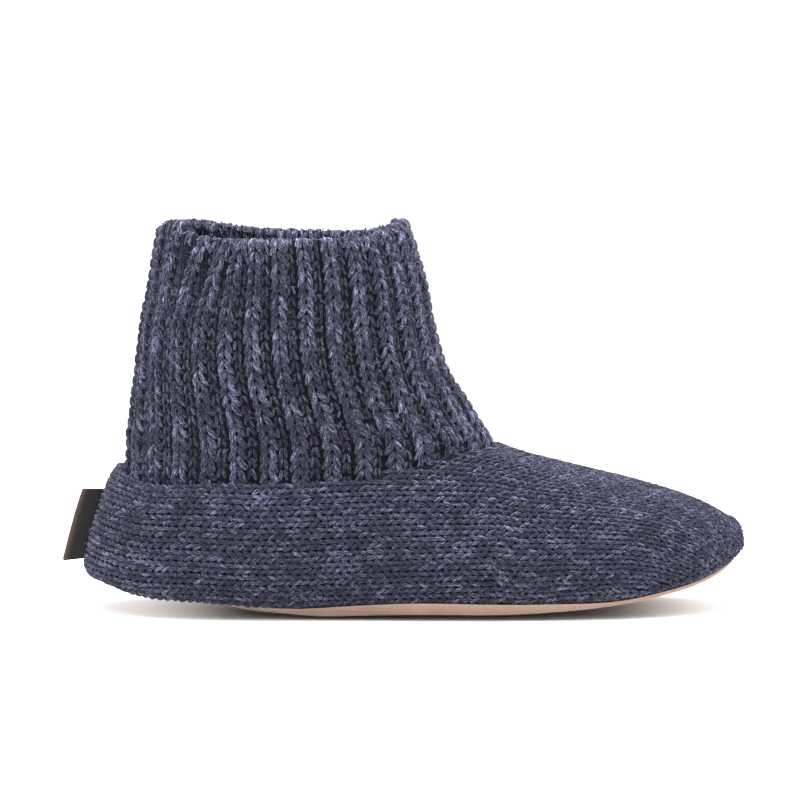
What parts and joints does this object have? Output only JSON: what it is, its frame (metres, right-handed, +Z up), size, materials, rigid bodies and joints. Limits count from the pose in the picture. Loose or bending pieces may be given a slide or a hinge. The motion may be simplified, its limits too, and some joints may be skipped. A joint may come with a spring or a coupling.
{
  "type": "slipper sock",
  "caption": "Knitted slipper boot with a ribbed cuff, a knitted foot and a thin suede sole, empty and standing upright.",
  "frame": {"origin": "on the floor, midway along the length and the width of the slipper", "axes": "+X from heel to toe, +Y to the inner side of the foot, +Z up"},
  "size_m": [0.2786, 0.098, 0.159],
  "materials": {
    "navy_knit": "chunky marled yarn, plain knit turned sideways, slightly fuzzy",
    "navy_rib": "chunky marled yarn, ribbed knit, slightly fuzzy",
    "tan_suede": "napped suede, matt",
    "navy_footbed": "brushed plain cloth, matt",
    "black_tape": "woven tape, bare, slight sheen"
  },
  "bodies": {
    "root": {"upper": "navy_knit", "shaft": "navy_rib", "outsole": "tan_suede", "insole": "navy_footbed", "heel_tab": "black_tape"}
  },
  "joints": []
}
